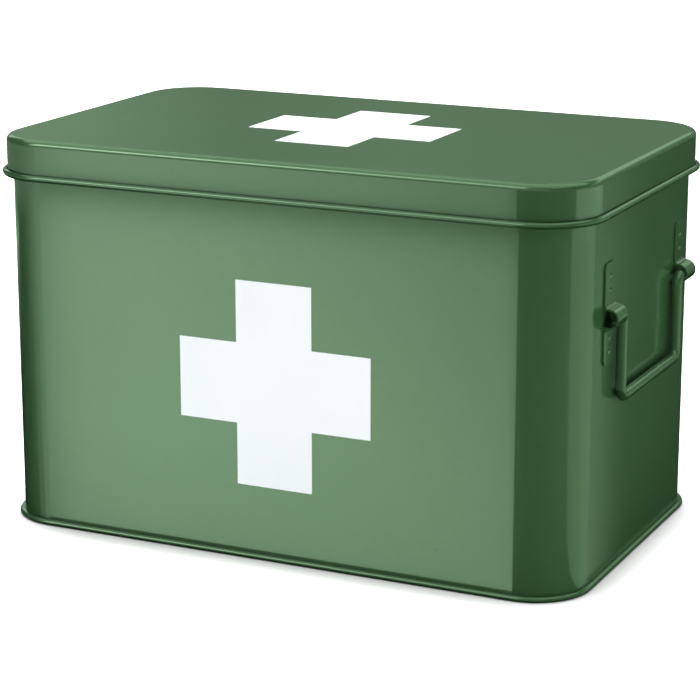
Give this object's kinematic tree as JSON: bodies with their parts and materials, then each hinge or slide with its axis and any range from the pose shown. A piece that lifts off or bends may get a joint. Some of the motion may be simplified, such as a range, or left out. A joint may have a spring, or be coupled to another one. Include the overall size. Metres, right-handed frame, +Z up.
{
  "type": "first aid box",
  "caption": "Hinged sheet-steel first aid box with rounded corners, an overlapping lid, swinging wire carrying handles, white crosses and a lift-out divided tray.",
  "frame": {"origin": "middle of the base, on the surface that the box stands on", "axes": "+Z up, front face towards -Y, +X to the right seen from the front"},
  "size_m": [0.336, 0.209, 0.2068],
  "materials": {
    "green_enamel": "semi-gloss enamel",
    "white_print": "satin print",
    "tray_enamel": "semi-gloss enamel",
    "zinc_plate": "zinc plated"
  },
  "bodies": {
    "case": {"body_wall": "green_enamel", "base_panel": "green_enamel", "front_cross": "white_print", "hinge_body_leaf_left": "green_enamel", "hinge_body_leaf_right": "green_enamel", "hinge_pin_left": "zinc_plate", "hinge_pin_right": "zinc_plate", "bracket_left_front": "green_enamel", "bracket_left_rear": "green_enamel", "bracket_right_front": "green_enamel", "bracket_right_rear": "green_enamel", "tray_ledge_left": "green_enamel", "tray_ledge_right": "green_enamel"},
    "lid": {"lid_shell": "green_enamel", "lid_cross": "white_print", "hinge_lid_leaf_left": "green_enamel", "hinge_lid_leaf_right": "green_enamel"},
    "bail_left": {"bail_left": "green_enamel"},
    "bail_right": {"bail_right": "green_enamel"},
    "tray": {"tray_pan": "tray_enamel", "tray_carrier": "tray_enamel", "tray_divider_left": "tray_enamel", "tray_divider_right": "tray_enamel"}
  },
  "joints": [
    {"name": "lid_hinge", "type": "hinge", "parent": "case", "child": "lid", "pos_m": [0, 0.10255, 0.1811], "axis": [-1, 0, 0], "range_deg": [0, 110]},
    {"name": "bail_right_swing", "type": "hinge", "parent": "case", "child": "bail_right", "pos_m": [0.1638, 0.005, 0.1346], "axis": [0, -1, 0], "range_deg": [0, 180]},
    {"name": "bail_left_swing", "type": "hinge", "parent": "case", "child": "bail_left", "pos_m": [-0.1638, 0.005, 0.1346], "axis": [0, 1, 0], "range_deg": [0, 180]},
    {"name": "tray_lift", "type": "slide", "parent": "case", "child": "tray", "axis": [0, 0, 1], "range_m": [0, 0.019]}
  ]
}
